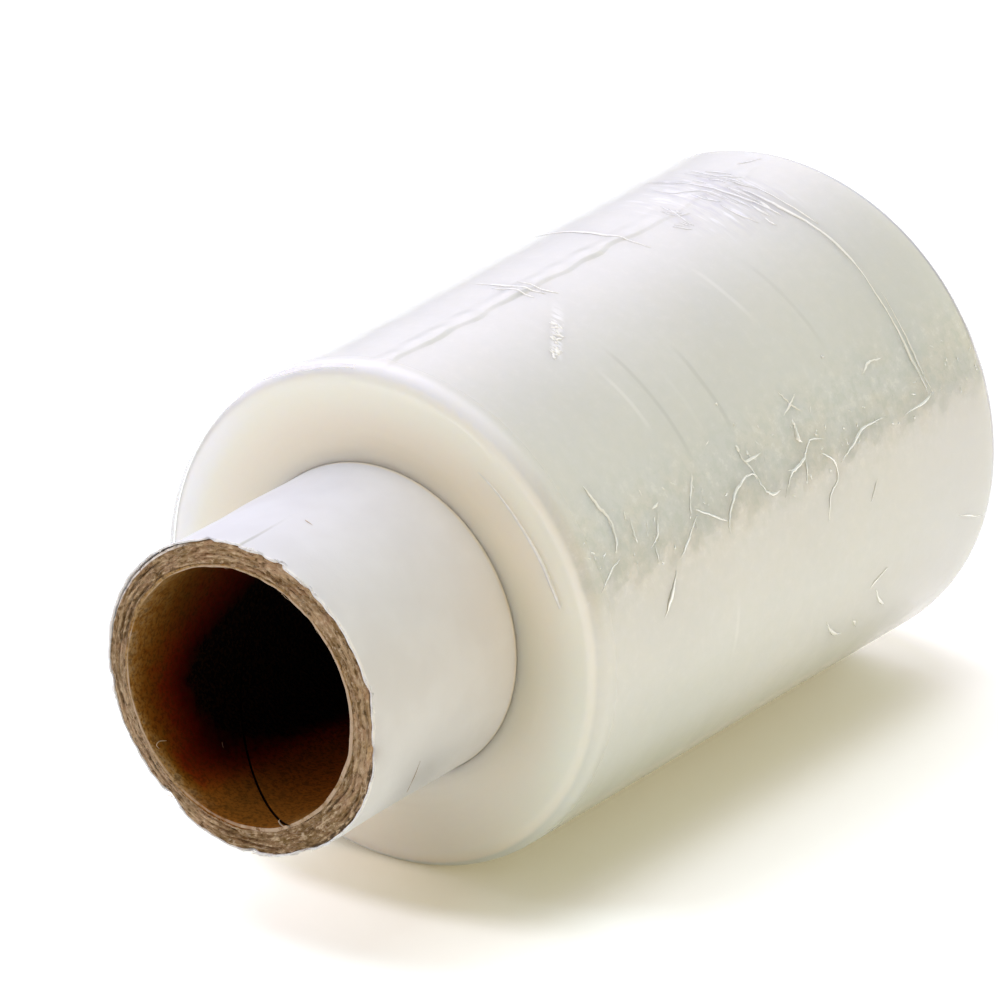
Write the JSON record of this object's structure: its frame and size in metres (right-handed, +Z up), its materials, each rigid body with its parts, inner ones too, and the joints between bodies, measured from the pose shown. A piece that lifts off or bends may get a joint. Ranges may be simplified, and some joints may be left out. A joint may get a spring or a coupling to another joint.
{
  "type": "stretch wrap roll",
  "caption": "Hand roll of clear stretch wrap film on a long paper core, lying on its side, one core end left bare as a handle.",
  "frame": {"origin": "on the floor under the middle of the roll's whole length, at the centre of the bounding box's bottom face", "axes": "+Z up; the roll's axis runs along Y, with the open mouth of the handle towards -Y; +X completes a right-handed frame"},
  "size_m": [0.076, 0.1354, 0.076],
  "materials": {
    "liner": "matte",
    "board": "matte",
    "cover": "satin",
    "film": "gloss"
  },
  "bodies": {
    "root": {"core_liner": "liner", "core_board": "board", "cover_paper": "cover", "film_roll": "film"}
  },
  "joints": []
}
